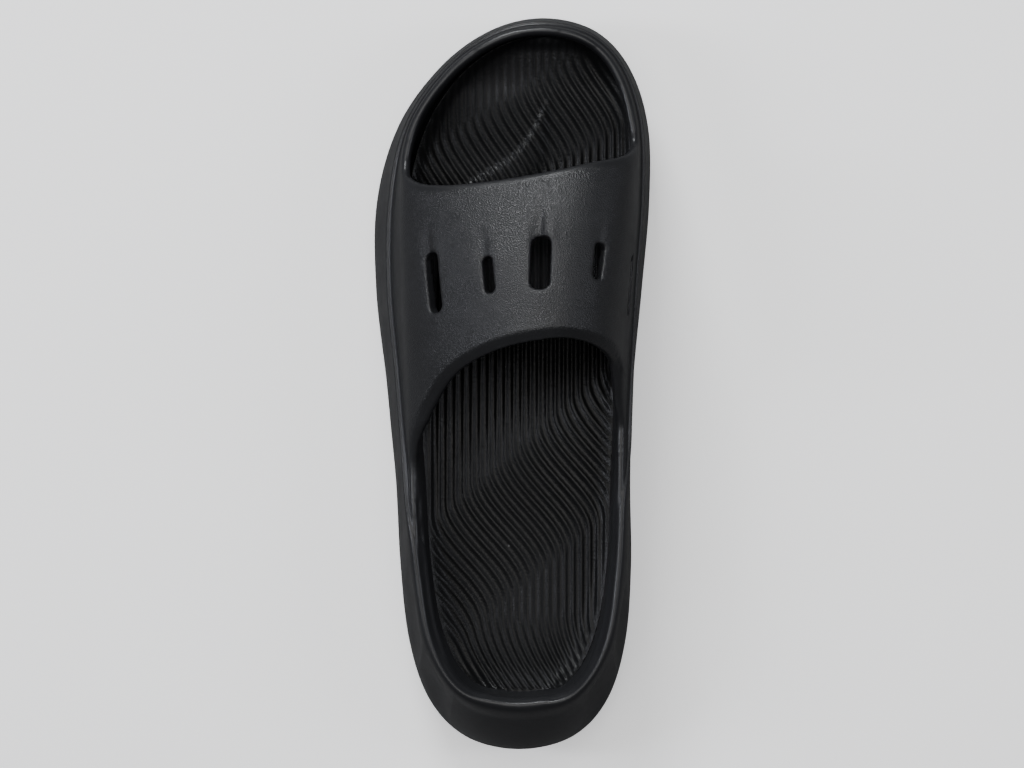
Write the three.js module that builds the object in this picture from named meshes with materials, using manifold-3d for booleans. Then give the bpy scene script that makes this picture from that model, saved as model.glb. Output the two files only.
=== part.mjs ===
// Sport slide sandal for the left foot, in millimetres, +Z up.
// The toe points to +Y, the big toe side to +X, and the origin is on the ground below the middle.
// Four pieces: a moulded upper (rim wall and strap in one), a thick rockered midsole that holds it,
// a footbed that drops into the cup, and a grooved outsole.
import * as THREE from "three";
import Module from "manifold-3d";

const wasm = await Module();
wasm.setup();

// Outline of the sole
const LENGTH = 296;
const WIDTH = 113;
// Ground side
const HEEL_LIFT = 9;
const ARCH_LIFT = 3;
const TOE_SPRING = 20;
const OUTSOLE_THICKNESS = 5;
const GROUND_INSET = 6;
const JOINT_INSET = 3;
// Grooves of the tread
const GROOVE_DEPTH = 2.5;
const GROOVE_WIDTH = 3.2;
const GROOVE_WAVE = 3;
const GROOVE_WAVE_LENGTH = 42;
// Side wall of the midsole
const HEEL_FLARE = 19;
const WIDEST_SHARE = 0.34;
const FLANK_ROUNDING = 1.4;
const SCOOP_DEPTH = 2.6;
const SCOOP_LEAN = 9;
const LIP_WIDTH = 0.9;
// Upper
const RIM_HEIGHT = 55;
const HEEL_WALL = 3.8;
const RIM_WALL = 5.4;
const TOE_WALL = 3.8;
const INSTEP_HEIGHT = 93;
const TOE_ARCH_HEIGHT = 73;
const STRAP_CREST = 0.66;
const STRAP_CAMBER = 2;
// Footbed
const FOOTBED_HEIGHT = 36.5;
const FOOTBED_THICKNESS = 6;
const CUP_RISE = 3;
const ARCH_SUPPORT = 3.5;
// Clearance between pieces that touch, and round the footbed that drops in
const GAP = 0.3;
const FOOTBED_CLEARANCE = 0.5;

// One row for each section round the shoe, from the heel end (angle 0) to the toe end (angle 180).
// edge: the outline's place across the shoe, a share of WIDTH, lateral side first.
// flare: how far the ridge stands in from the outline, a share of HEEL_FLARE.
// ridge, rim: heights of the ridge and of the rim, shares of RIM_HEIGHT.
// rimIn: how far the rim stands in from the outline, a share of HEEL_FLARE.
// foot: how far the footbed's edge stands in from the outline, a share of HEEL_FLARE.
const SECTIONS = [
  { angle: 0, edge: [0.025, 0.025], flare: [0.95, 0.95], ridge: [0.96, 0.96], rimIn: [0.98, 0.98], rim: [1.0, 1.0], foot: [1.35, 1.35] },
  { angle: 15, edge: [-0.167, 0.217], flare: [0.89, 0.84], ridge: [0.96, 0.96], rimIn: [0.93, 0.89], rim: [1.0, 1.0], foot: [1.32, 1.28] },
  { angle: 30, edge: [-0.299, 0.342], flare: [0.65, 0.52], ridge: [0.96, 0.96], rimIn: [0.69, 0.57], rim: [1.0, 1.0], foot: [1.17, 1.03] },
  { angle: 45, edge: [-0.371, 0.407], flare: [0.43, 0.22], ridge: [0.96, 0.95], rimIn: [0.47, 0.27], rim: [0.995, 0.995], foot: [0.93, 0.76] },
  { angle: 60, edge: [-0.403, 0.428], flare: [0.34, 0.09], ridge: [0.945, 0.93], rimIn: [0.38, 0.14], rim: [0.985, 0.985], foot: [0.81, 0.58] },
  { angle: 75, edge: [-0.421, 0.425], flare: [0.32, 0.0], ridge: [0.9, 0.89], rimIn: [0.36, 0.05], rim: [0.985, 0.975], foot: [0.79, 0.47] },
  { angle: 90, edge: [-0.455, 0.435], flare: [0.34, 0.0], ridge: [0.78, 0.83], rimIn: [0.5, 0.09], rim: [0.955, 0.97], foot: [0.85, 0.43] },
  { angle: 105, edge: [-0.495, 0.466], flare: [0.37, 0.09], ridge: [0.66, 0.73], rimIn: [0.64, 0.14], rim: [0.92, 0.92], foot: [0.86, 0.44] },
  { angle: 120, edge: [-0.493, 0.493], flare: [0.38, 0.12], ridge: [0.61, 0.66], rimIn: [0.6, 0.18], rim: [0.87, 0.87], foot: [0.83, 0.44] },
  { angle: 135, edge: [-0.414, 0.489], flare: [0.25, 0.13], ridge: [0.63, 0.64], rimIn: [0.3, 0.18], rim: [0.84, 0.84], foot: [0.74, 0.46] },
  { angle: 150, edge: [-0.263, 0.423], flare: [0.18, 0.14], ridge: [0.66, 0.66], rimIn: [0.22, 0.18], rim: [0.83, 0.83], foot: [0.62, 0.48] },
  { angle: 165, edge: [-0.081, 0.299], flare: [0.16, 0.16], ridge: [0.69, 0.69], rimIn: [0.21, 0.2], rim: [0.85, 0.85], foot: [0.57, 0.52] },
  { angle: 180, edge: [0.113, 0.113], flare: [0.17, 0.17], ridge: [0.71, 0.71], rimIn: [0.22, 0.22], rim: [0.86, 0.86], foot: [0.55, 0.55] },
];

// Stops of the columns round the shoe, in degrees on the lateral and the medial side, and the number of
// columns up to each stop from the one before. The first three follow the ridges of the heel's scoops,
// and between collar and toeCorner the strap springs from the wall.
const STOPS = [
  { name: "heelFacet", angle: [28, 28], steps: 5 },
  { name: "heelScoop", angle: [44.5, 44.5], steps: 5 },
  { name: "sideScoop", angle: [62, 60], steps: 5 },
  { name: "collar", angle: [79, 86.6], steps: 4 },
  { name: "toeCorner", angle: [126.3, 130], steps: 12 },
  { name: "toeEnd", angle: [180, 180], steps: 12 },
];

// The footbed's height along the shoe, a share of FOOTBED_HEIGHT.
const FOOTBED_PROFILE = [
  { along: 0.0, height: 1.08 },
  { along: 0.12, height: 1.0 },
  { along: 0.28, height: 1.0 },
  { along: 0.42, height: 0.96 },
  { along: 0.55, height: 0.87 },
  { along: 0.68, height: 0.8 },
  { along: 0.8, height: 0.82 },
  { along: 0.9, height: 0.92 },
  { along: 1.0, height: 1.06 },
];

// Ground line: where the flat spots start and end, shares of LENGTH.
const FLATS = { heelStart: 0.1, heelEnd: 0.36, ballStart: 0.5, ballEnd: 0.66 };

// The strap's front and rear edge: height of the crest, and how late the edge climbs on either side.
const STRAP_EDGES = {
  front: { height: TOE_ARCH_HEIGHT, rise: [1.15, 0.8] },
  rear: { height: INSTEP_HEIGHT, rise: [1.7, 0.95] },
};

// The strap's edges in plan, one row for each twelfth of the way over, from the lateral to the medial rim:
// how far the edge lies ahead of the straight line between its ends, shares of LENGTH.
const STRAP_BOWS = [
  { front: 0, rear: 0 },
  { front: -0.008, rear: 0.009 },
  { front: -0.02, rear: 0.047 },
  { front: -0.026, rear: 0.086 },
  { front: -0.028, rear: 0.105 },
  { front: -0.027, rear: 0.112 },
  { front: -0.023, rear: 0.11 },
  { front: -0.02, rear: 0.105 },
  { front: -0.017, rear: 0.096 },
  { front: -0.015, rear: 0.084 },
  { front: -0.012, rear: 0.07 },
  { front: -0.006, rear: 0.05 },
  { front: 0, rear: 0 },
];

// Vent slots through the strap. over: place from the lateral to the medial rim, back: from the front to the
// rear edge, both 0 to 1. length and width in millimetres, turn: degrees away from the strap's own lines.
const SLOTS = [
  { name: "lateral", over: 0.215, back: 0.53, length: 24, width: 6.6, turn: -5 },
  { name: "lateralSmall", over: 0.365, back: 0.61, length: 14.6, width: 4.2, turn: -6 },
  { name: "middle", over: 0.478, back: 0.6, length: 21.5, width: 7.8, turn: 0 },
  { name: "medialSmall", over: 0.71, back: 0.61, length: 14.6, width: 4.6, turn: 3 },
  { name: "medial", over: 0.97, back: 0.59, length: 24, width: 6.6, turn: 0 },
];

// Tread: grooves between two shares of LENGTH.
const TREAD = [
  { from: 0.05, to: 0.34, count: 7 },
  { from: 0.49, to: 0.95, count: 11 },
];

const LATERAL = 0;
const MEDIAL = 1;
const up = new THREE.Vector3(0, 0, 1);
const lerp = THREE.MathUtils.lerp;
const smooth = THREE.MathUtils.smoothstep;

// A smooth value between the rows of a table that are one step apart; reads before and past its ends by mirror.
function throughRows(rows, place, read, mirror = read) {
  const last = rows.length - 1;
  const at = (i) => (i < 0 ? mirror(rows[-i]) : i > last ? mirror(rows[2 * last - i]) : read(rows[i]));
  const i = Math.min(Math.floor(place), last - 1);
  const t = place - i;
  const [a, b, c, d] = [at(i - 1), at(i), at(i + 1), at(i + 2)];
  return b + 0.5 * t * (c - a + t * (2 * a - 5 * b + 4 * c - d + t * (3 * (b - c) + d - a)));
}

const SECTION_STEP = SECTIONS[1].angle - SECTIONS[0].angle;

// A column of SECTIONS at an angle on one side.
function section(column, side, angle) {
  return throughRows(SECTIONS, angle / SECTION_STEP, (row) => row[column][side], (row) => row[column][1 - side]);
}

// A value by share of the length from a table with uneven rows.
function alongTable(rows, share, column) {
  const next = rows.findIndex((row) => row.along >= share);
  if (next <= 0) return rows[next < 0 ? rows.length - 1 : 0][column];
  const [a, b] = [rows[next - 1], rows[next]];
  return lerp(a[column], b[column], smooth(share, a.along, b.along) * 0.5 + ((share - a.along) / (b.along - a.along)) * 0.5);
}

const alongShare = (y) => THREE.MathUtils.clamp(y / LENGTH + 0.5, 0, 1);

// The outline in plan.
function outline(side, angle) {
  const y = (-Math.cos(THREE.MathUtils.degToRad(angle)) * LENGTH) / 2;
  return new THREE.Vector2(section("edge", side, angle) * WIDTH, y);
}

// A point that stands in from the outline by a distance, at a height.
function inFrom(side, angle, inset, height) {
  const step = 0.5;
  const mirrored = (a) => (a < 0 ? outline(1 - side, -a) : a > 180 ? outline(1 - side, 360 - a) : outline(side, a));
  const along = mirrored(angle + step).sub(mirrored(angle - step)).normalize();
  const inward = side === LATERAL ? new THREE.Vector2(along.y, -along.x) : new THREE.Vector2(-along.y, along.x);
  const p = outline(side, angle).addScaledVector(inward, inset);
  return new THREE.Vector3(p.x, p.y, height);
}

// Height of the ground side above the floor.
function groundHeight(y) {
  const share = alongShare(y);
  if (share < FLATS.heelStart) return HEEL_LIFT * ((FLATS.heelStart - share) / FLATS.heelStart) ** 2;
  if (share > FLATS.ballEnd) return TOE_SPRING * ((share - FLATS.ballEnd) / (1 - FLATS.ballEnd)) ** 1.9;
  if (share < FLATS.heelEnd || share > FLATS.ballStart) return 0;
  return ARCH_LIFT * Math.sin((Math.PI * (share - FLATS.heelEnd)) / (FLATS.ballStart - FLATS.heelEnd)) ** 2;
}

const footbedHeight = (y) => FOOTBED_HEIGHT * alongTable(FOOTBED_PROFILE, alongShare(y), "height");
const cavityFloor = (y) => footbedHeight(y) - FOOTBED_THICKNESS - GAP;
const wallAt = (y) =>
  RIM_WALL +
  (HEEL_WALL - RIM_WALL) * (1 - smooth(alongShare(y), 0.06, 0.16)) +
  (TOE_WALL - RIM_WALL) * smooth(alongShare(y), 0.5, 0.85);
const ridgeHeight = (side, angle) => RIM_HEIGHT * section("ridge", side, angle);
const flare = (side, angle) => HEEL_FLARE * section("flare", side, angle);

// Depth of the scoops between the leaning ridges of the heel's side, at a share of the way up the flank.
function scoop(side, angle, up01) {
  const place = angle + SCOOP_LEAN * (1 - up01);
  const edges = STOPS.slice(0, 3).map((stop) => stop.angle[side]);
  const next = edges.findIndex((edge) => place < edge);
  if (next <= 0) return 0;
  const share = (place - edges[next - 1]) / (edges[next] - edges[next - 1]);
  return SCOOP_DEPTH * Math.sin(Math.PI * share) * Math.sin(Math.PI * up01 ** 1.3);
}

// The columns round the shoe, from the heel's end up the lateral side to the toe and back down the medial side.
function sideAngles(side) {
  const angles = [0];
  for (const stop of STOPS) {
    const from = angles[angles.length - 1];
    for (let i = 1; i <= stop.steps; i++) angles.push(lerp(from, stop.angle[side], i / stop.steps));
  }
  return angles;
}

const ANGLES = [sideAngles(LATERAL), sideAngles(MEDIAL)];
const LAST = ANGLES[LATERAL].length - 1;
const stepsTo = (name) => STOPS.slice(0, STOPS.findIndex((s) => s.name === name) + 1).reduce((n, s) => n + s.steps, 0);
const COLLAR = stepsTo("collar");
const TOE_CORNER = stepsTo("toeCorner");
const ROUND = [
  ...ANGLES[LATERAL].map((angle, column) => ({ side: LATERAL, angle, column })),
  ...ANGLES[MEDIAL].map((angle, column) => ({ side: MEDIAL, angle, column })).slice(1, -1).reverse(),
];

// Collects triangles by their corners' places and welds equal corners.
class Skin {
  constructor() {
    this.places = [];
    this.corners = new Map();
    this.triangles = [];
  }

  corner(p) {
    const key = [p.x, p.y, p.z].map((v) => Math.round(v * 1e4)).join(" ");
    if (!this.corners.has(key)) {
      this.corners.set(key, this.places.length / 3);
      this.places.push(p.x, p.y, p.z);
    }
    return this.corners.get(key);
  }

  triangle(a, b, c) {
    const [i, j, k] = [this.corner(a), this.corner(b), this.corner(c)];
    if (i !== j && j !== k && k !== i) this.triangles.push([i, j, k]);
  }

  quad(a, b, c, d) {
    this.triangle(a, b, c);
    this.triangle(a, c, d);
  }

  // A grid of points, rows of equal length, as a sheet. A turned one faces the other way with the same facets.
  sheet(rows, turned = false) {
    for (let i = 0; i + 1 < rows.length; i++)
      for (let j = 0; j + 1 < rows[i].length; j++) {
        const [a, b, c, d] = [rows[i][j], rows[i][j + 1], rows[i + 1][j + 1], rows[i + 1][j]];
        if (turned) this.quad(a, d, c, b);
        else this.quad(a, b, c, d);
      }
  }

  // Closed rings of equal length, as a wall.
  wall(rings) {
    this.sheet(rings.map((ring) => [...ring, ring[0]]));
  }

  // The welded mesh as a solid, with its faces turned out.
  solid() {
    const build = (triangles) =>
      new wasm.Manifold(
        new wasm.Mesh({
          numProp: 3,
          vertProperties: new Float32Array(this.places),
          triVerts: new Uint32Array(triangles.flat()),
        }),
      );
    const made = build(this.triangles);
    return made.volume() > 0 ? made : build(this.triangles.map(([a, b, c]) => [a, c, b]));
  }
}

// A sheet across a ring from its lateral to its medial columns, height(x, y, across) for each point.
// It closes a wall's first ring as it is, and a wall's last ring when turned.
function acrossRing(ring, steps, height) {
  const rows = [];
  for (let column = 0; column <= LAST; column++) {
    const a = ring[column];
    const b = column === 0 || column === LAST ? a : ring[ring.length - column];
    const row = [a];
    for (let i = 1; i < steps; i++) {
      const p = a.clone().lerp(b, i / steps);
      row.push(a === b ? a : p.setZ(height(p.x, p.y, i / steps)));
    }
    rows.push([...row, b]);
  }
  return rows;
}

const ringOf = (place) => ROUND.map(({ side, angle }) => place(side, angle));

// The outsole before its grooves: three rings and two faces.
function outsoleSolid() {
  const ring = (inset, rise) =>
    ringOf((side, angle) => {
      const p = inFrom(side, angle, inset, 0);
      return p.setZ(groundHeight(p.y) + rise);
    });
  const bottom = ring(GROUND_INSET, 0);
  const shoulder = ring((GROUND_INSET + JOINT_INSET) / 2, OUTSOLE_THICKNESS * 0.22);
  const top = ring(JOINT_INSET, OUTSOLE_THICKNESS);
  const skin = new Skin();
  skin.wall([bottom, shoulder, top]);
  skin.sheet(acrossRing(bottom, 4, (x, y) => groundHeight(y)));
  skin.sheet(acrossRing(top, 4, (x, y) => groundHeight(y) + OUTSOLE_THICKNESS), true);
  return skin.solid();
}

// One groove as a wavy bar across the sole, cut from below.
function grooveCutter(share) {
  const y0 = (share - 0.5) * LENGTH;
  const half = WIDTH * 0.6;
  const shape = new THREE.Shape();
  const steps = 12;
  const edge = (i, offset) => {
    const x = lerp(-half, half, i / steps);
    return [x, y0 + GROOVE_WAVE * Math.cos((2 * Math.PI * x) / GROOVE_WAVE_LENGTH) + offset];
  };
  shape.moveTo(...edge(0, -GROOVE_WIDTH / 2));
  for (let i = 1; i <= steps; i++) shape.lineTo(...edge(i, -GROOVE_WIDTH / 2));
  for (let i = steps; i >= 0; i--) shape.lineTo(...edge(i, GROOVE_WIDTH / 2));
  const top = groundHeight(y0) + GROOVE_DEPTH;
  const geometry = new THREE.ExtrudeGeometry(shape, { depth: top + OUTSOLE_THICKNESS, bevelEnabled: false });
  return solidOf(geometry.translate(0, 0, -OUTSOLE_THICKNESS));
}

function outsole() {
  let solid = outsoleSolid();
  for (const { from, to, count } of TREAD)
    for (let i = 0; i < count; i++) solid = solid.subtract(grooveCutter(lerp(from, to, i / (count - 1))));
  return solid;
}

// The midsole: foot, flank with its scoops, ridge, lip, cavity wall and cavity floor.
function midsole() {
  const ground = (p) => groundHeight(p.y) + OUTSOLE_THICKNESS + GAP;
  const foot = ringOf((side, angle) => {
    const p = inFrom(side, angle, JOINT_INSET, 0);
    return p.setZ(ground(p));
  });
  const widest = (side, angle) => lerp(groundHeight(outline(side, angle).y), ridgeHeight(side, angle), WIDEST_SHARE);
  const bilge = ringOf((side, angle) => {
    const p = inFrom(side, angle, JOINT_INSET * 0.2, 0);
    return p.setZ(lerp(ground(p), widest(side, angle), 0.5));
  });
  const flank = (up01) =>
    ringOf((side, angle) => {
      const inset = flare(side, angle) * up01 ** FLANK_ROUNDING + scoop(side, angle, up01);
      return inFrom(side, angle, inset, lerp(widest(side, angle), ridgeHeight(side, angle), up01));
    });
  const lip = ringOf((side, angle) => inFrom(side, angle, flare(side, angle) + LIP_WIDTH, ridgeHeight(side, angle)));
  const base = cavityRing(GAP, 0);
  const skin = new Skin();
  const rings = [foot, bilge, ...[0, 0.2, 0.4, 0.6, 0.8, 1].map(flank), lip, base];
  skin.wall(rings);
  skin.sheet(acrossRing(foot, 4, (x, y) => groundHeight(y) + OUTSOLE_THICKNESS + GAP));
  skin.sheet(acrossRing(base, 4, (x, y) => cavityFloor(y)), true);
  return skin.solid();
}

// The upper's foot on the cavity floor, let out by a clearance and lifted off the floor.
function cavityRing(out, lift) {
  return ringOf((side, angle) => {
    const edge = HEEL_FLARE * section("foot", side, angle);
    const wall = wallAt(outline(side, angle).y);
    const p = inFrom(side, angle, edge - wall - out, 0);
    return p.setZ(cavityFloor(p.y) + lift);
  });
}

// The outer face of the upper's wall at one column, from its foot to the rim.
function wallColumn(side, angle) {
  const edge = HEEL_FLARE * section("foot", side, angle);
  const foot = inFrom(side, angle, edge - wallAt(outline(side, angle).y), 0);
  foot.z = cavityFloor(foot.y) + GAP;
  const ridge = inFrom(side, angle, flare(side, angle) + LIP_WIDTH + GAP, ridgeHeight(side, angle));
  const rimIn = HEEL_FLARE * section("rimIn", side, angle) + LIP_WIDTH;
  const rim = inFrom(side, angle, rimIn, RIM_HEIGHT * section("rim", side, angle));
  const middle = ridge.clone().lerp(rim, 0.5);
  return [foot, foot.clone().lerp(ridge, 0.5), ridge, middle, rim];
}

// The rim where the strap springs from it, back 0 at the strap's front edge to 1 at its rear edge.
function strapRim(side, back) {
  const [collar, toeCorner] = STOPS.slice(3, 5).map((stop) => stop.angle[side]);
  return wallColumn(side, lerp(toeCorner, collar, back)).at(-1);
}

// A point of the strap: back as above, over 0 at the lateral rim to 1 at the medial rim.
function strapPoint(back, over) {
  const { front, rear } = STRAP_EDGES;
  const [lateralRim, medialRim] = [strapRim(LATERAL, back), strapRim(MEDIAL, back)];
  const side = over < 0.5 ? LATERAL : MEDIAL;
  const turn = Math.PI * (side === LATERAL ? over : 1 - over);
  const swing = 1 - Math.cos(turn);
  const across = side === LATERAL ? STRAP_CREST * swing : 1 - (1 - STRAP_CREST) * swing;
  const rise = Math.sin(turn) ** lerp(front.rise[side], rear.rise[side], back);
  const bow = (edge) => throughRows(STRAP_BOWS, over * (STRAP_BOWS.length - 1), (row) => row[edge]);
  const crest = lerp(lateralRim.z, medialRim.z, STRAP_CREST);
  const height = lerp(front.height, rear.height, back) + STRAP_CAMBER * Math.sin(Math.PI * back);
  const p = lateralRim.lerp(medialRim, across);
  p.y += lerp(bow("front"), bow("rear"), back) * LENGTH;
  p.z += rise * (height - crest);
  return p;
}

const STRAP_STEPS = 24;

// The outer face of the whole upper as welded sheets: toe wall, heel wall and strap with its side walls.
function upperFace() {
  const columns = ROUND.map(({ side, angle }) => wallColumn(side, angle));
  const lateral = (column) => columns[column];
  const medial = (column) => columns[(2 * LAST - column) % (2 * LAST)];
  const skin = new Skin();
  const toe = [];
  for (let c = TOE_CORNER; c <= 2 * LAST - TOE_CORNER; c++) toe.push(columns[c]);
  const heel = [];
  for (let c = 2 * LAST - COLLAR; c <= 2 * LAST + COLLAR; c++) heel.push(columns[c % (2 * LAST)]);
  const strap = [];
  for (let c = COLLAR; c <= TOE_CORNER; c++) {
    const back = (TOE_CORNER - c) / (TOE_CORNER - COLLAR);
    const [start, end] = [lateral(c), medial(c)];
    const arch = [];
    for (let i = 1; i < STRAP_STEPS; i++) arch.push(strapPoint(back, i / STRAP_STEPS));
    strap.push([...start, ...arch, ...[...end].reverse()]);
  }
  skin.sheet(toe);
  skin.sheet(heel);
  skin.sheet(strap);
  return skin;
}

// The wall that a face makes when it gets its thickness inwards: both faces and a strip along each free edge.
function thickened(face) {
  const place = (i) => new THREE.Vector3(...face.places.slice(3 * i, 3 * i + 3));
  const count = face.places.length / 3;
  const normals = Array.from({ length: count }, () => new THREE.Vector3());
  for (const [a, b, c] of face.triangles) {
    const n = place(b).sub(place(a)).cross(place(c).sub(place(a)));
    for (const i of [a, b, c]) normals[i].add(n);
  }
  const inner = normals.map((n, i) => {
    const p = place(i);
    const seated = Math.abs(p.z - cavityFloor(p.y) - GAP) < 1e-6;
    if (seated) n.z = 0;
    const q = p.clone().addScaledVector(n.normalize(), -wallAt(p.y));
    if (seated) q.z = p.z;
    return q;
  });
  const skin = new Skin();
  const edges = new Map();
  for (const [a, b, c] of face.triangles) {
    skin.triangle(place(a), place(b), place(c));
    skin.triangle(inner[a], inner[c], inner[b]);
    for (const [i, j] of [[a, b], [b, c], [c, a]]) edges.set(i + " " + j, [i, j]);
  }
  for (const [i, j] of edges.values())
    if (!edges.has(j + " " + i)) skin.quad(place(j), place(i), inner[i], inner[j]);
  return skin.solid();
}

// A slot's cutter: a bar with round ends that goes through the strap along its normal.
function slotCutter({ over, back, length, width, turn }) {
  const step = 0.02;
  const place = strapPoint(back, over);
  const forward = strapPoint(back - step, over).sub(strapPoint(back + step, over)).normalize();
  const side = strapPoint(back, over + step).sub(strapPoint(back, over - step));
  const out = side.cross(forward).normalize();
  const reach = 2 * RIM_WALL;
  const straight = (length - width) / 2;
  const shape = new THREE.Shape();
  shape.absarc(0, straight, width / 2, 0, Math.PI);
  shape.absarc(0, -straight, width / 2, Math.PI, 2 * Math.PI);
  const geometry = new THREE.ExtrudeGeometry(shape, { depth: 2 * reach, bevelEnabled: false, curveSegments: 6 });
  geometry.translate(0, 0, -reach);
  geometry.rotateZ(THREE.MathUtils.degToRad(-turn));
  const frame = new THREE.Matrix4().makeBasis(forward.clone().cross(out), forward, out);
  return solidOf(geometry.applyMatrix4(frame.setPosition(place)));
}

function upper() {
  return thickened(upperFace());
}

// The footbed: a plate with a cupped top and a raised arch on the medial side.
function footbed() {
  const ring = (lift, height) =>
    ringOf((side, angle) => {
      const p = inFrom(side, angle, HEEL_FLARE * section("foot", side, angle) + 3 * GAP, 0);
      return p.setZ(height(p.y) + lift);
    });
  const top = (x, y, across) => {
    const edge = Math.abs(2 * across - 1) ** 4;
    const arch = Math.exp(-(((alongShare(y) - 0.42) / 0.12) ** 2)) * smooth(across, 0.55, 1);
    return footbedHeight(y) + CUP_RISE * edge + ARCH_SUPPORT * arch * (1 - edge);
  };
  const low = ring(GAP, cavityFloor);
  const high = ring(CUP_RISE, footbedHeight);
  const skin = new Skin();
  skin.wall([low, high]);
  skin.sheet(acrossRing(low, 10, (x, y) => cavityFloor(y) + GAP));
  skin.sheet(acrossRing(high, 10, top), true);
  return skin.solid();
}

// A three.js geometry as a solid.
function solidOf(geometry) {
  const skin = new Skin();
  const flat = geometry.index ? geometry.toNonIndexed() : geometry;
  const corners = flat.getAttribute("position");
  const at = (i) => new THREE.Vector3().fromBufferAttribute(corners, i);
  for (let i = 0; i < corners.count; i += 3) skin.triangle(at(i), at(i + 1), at(i + 2));
  return skin.solid();
}

// A solid as a named mesh.
function piece(name, solid, material) {
  const { numProp, numVert, vertProperties, triVerts } = solid.getMesh();
  const places = new Float32Array(numVert * 3);
  for (let i = 0; i < numVert; i++) places.set(vertProperties.subarray(i * numProp, i * numProp + 3), i * 3);
  const geometry = new THREE.BufferGeometry();
  geometry.setAttribute("position", new THREE.BufferAttribute(places, 3));
  geometry.setIndex(new THREE.BufferAttribute(triVerts, 1));
  geometry.computeVertexNormals();
  const mesh = new THREE.Mesh(geometry, material);
  mesh.name = name;
  return mesh;
}

const foam = (color, roughness) => new THREE.MeshStandardMaterial({ color, roughness, metalness: 0 });

const cutUpper = SLOTS.reduce((solid, slot) => solid.subtract(slotCutter(slot)), upper());

const slide = new THREE.Group();
slide.add(
  piece("upper", cutUpper, foam("#26282b", 0.5)),
  piece("midsole", midsole(), foam("#222427", 0.55)),
  piece("footbed", footbed(), foam("#17181a", 0.6)),
  piece("outsole", outsole(), foam("#1c1d1f", 0.7)),
);

export default slide;
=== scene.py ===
"""Sport slide sandal for the left foot: the fine moulded foam pieces, their finishes and the studio."""

import logging
import math
from dataclasses import dataclass, field
from enum import Enum
from functools import lru_cache
from typing import Callable, Sequence

import bmesh
import bpy
from mathutils import Matrix, Vector
from mathutils.bvhtree import BVHTree
from mathutils.kdtree import KDTree


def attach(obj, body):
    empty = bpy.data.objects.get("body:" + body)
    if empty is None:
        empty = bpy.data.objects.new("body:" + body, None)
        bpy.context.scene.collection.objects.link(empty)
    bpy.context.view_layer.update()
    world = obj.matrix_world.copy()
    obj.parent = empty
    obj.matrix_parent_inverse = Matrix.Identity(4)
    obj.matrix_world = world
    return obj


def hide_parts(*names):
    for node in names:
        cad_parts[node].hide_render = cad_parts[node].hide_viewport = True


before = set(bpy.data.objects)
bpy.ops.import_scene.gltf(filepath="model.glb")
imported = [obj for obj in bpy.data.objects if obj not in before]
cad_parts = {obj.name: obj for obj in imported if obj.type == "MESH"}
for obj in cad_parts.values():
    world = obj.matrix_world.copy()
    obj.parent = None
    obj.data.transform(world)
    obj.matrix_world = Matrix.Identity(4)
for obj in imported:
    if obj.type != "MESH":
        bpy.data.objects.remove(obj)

log = logging.getLogger("slide")
MM = 0.001
Pair = tuple[float, float]
Triple = tuple[float, float, float]


class Side(Enum):
    """The two sides of the shoe, with their place in the tables."""

    LATERAL = 0
    MEDIAL = 1

    @property
    def other(self) -> "Side":
        """The opposite side."""
        return Side.MEDIAL if self is Side.LATERAL else Side.LATERAL


def lerp(a: float, b: float, t: float) -> float:
    """A value part of the way from a to b."""
    return a + (b - a) * t


def smooth(value: float, low: float, high: float) -> float:
    """0 below low, 1 above high, and a smooth step between them."""
    t = min(max((value - low) / (high - low), 0.0), 1.0)
    return t * t * (3 - 2 * t)


def curve(a: float, b: float, c: float, d: float, t: float) -> float:
    """A point between b and c on the smooth curve through four values."""
    return b + 0.5 * t * (c - a + t * (2 * a - 5 * b + 4 * c - d + t * (3 * (b - c) + d - a)))


@dataclass(frozen=True)
class Section:
    """One row round the shoe, lateral value first.

    edge is a share of the width. flare, rim_in and foot are shares of the heel flare, and
    ridge and rim are shares of the rim's height.
    """

    edge: Pair
    flare: Pair
    ridge: Pair
    rim_in: Pair
    rim: Pair
    foot: Pair


@dataclass(frozen=True)
class Station:
    """A place on the shoe's outline with what the sections say there, in millimetres."""

    side: Side
    angle: float
    point: Vector
    inward: Vector
    flare: float
    ridge: float
    rim_in: float
    rim: float
    foot: float

    def inset(self, distance: float, height: float) -> Vector:
        """A point that stands in from the outline.

        Args:
            distance: how far in, in millimetres.
            height: its height above the floor.

        Returns:
            The point, in millimetres.
        """
        p = self.point + self.inward * distance
        return Vector((p.x, p.y, height))


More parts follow.
